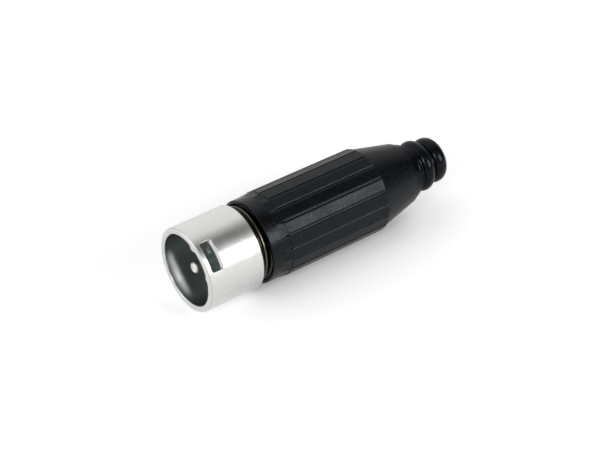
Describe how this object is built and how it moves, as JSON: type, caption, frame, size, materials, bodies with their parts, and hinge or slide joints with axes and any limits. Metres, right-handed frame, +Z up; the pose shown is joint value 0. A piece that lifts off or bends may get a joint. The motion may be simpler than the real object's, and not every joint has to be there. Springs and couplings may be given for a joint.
{
  "type": "xlr plug",
  "caption": "Male audio cable plug: bright metal barrel with latch window and round pins, ribbed black screw-on backshell, ringed rubber boot.",
  "frame": {"origin": "middle of the mating face, on the plug's axis", "axes": "+X along the axis from the mating face to the cable end, +Z up, with one flat grip panel facing straight down"},
  "size_m": [0.067, 0.0194, 0.0194],
  "materials": {
    "shell_metal": "satin nickel plate on die-cast metal",
    "insert_plastic": "dark green-black moulded insulator",
    "pin_metal": "silver plate on turned brass",
    "tag_metal": "tinned strip",
    "clamp_plastic": "moulded plastic",
    "backshell_plastic": "fine matte black moulding",
    "boot_rubber": "smooth black rubber"
  },
  "bodies": {
    "plug": {"shell": "shell_metal", "insert": "insert_plastic", "pin_1": "pin_metal", "pin_2": "pin_metal", "pin_3": "pin_metal", "ground_tag": "tag_metal"},
    "clamp": {"cable_clamp": "clamp_plastic"},
    "backshell": {"backshell": "backshell_plastic", "boot": "boot_rubber"}
  },
  "joints": [
    {"name": "clamp_slide", "type": "slide", "parent": "plug", "child": "clamp", "axis": [1, 0, 0], "range_m": [0, 0.00605]},
    {"name": "backshell_turn", "type": "hinge", "parent": "clamp", "child": "backshell", "pos_m": [0.036, 0, 0], "axis": [1, 0, 0], "range_deg": [0, 1440]}
  ],
  "couplings": [
    {"joint": "clamp_slide", "follows": "backshell_turn", "m_per_rad": 0.00023873}
  ]
}
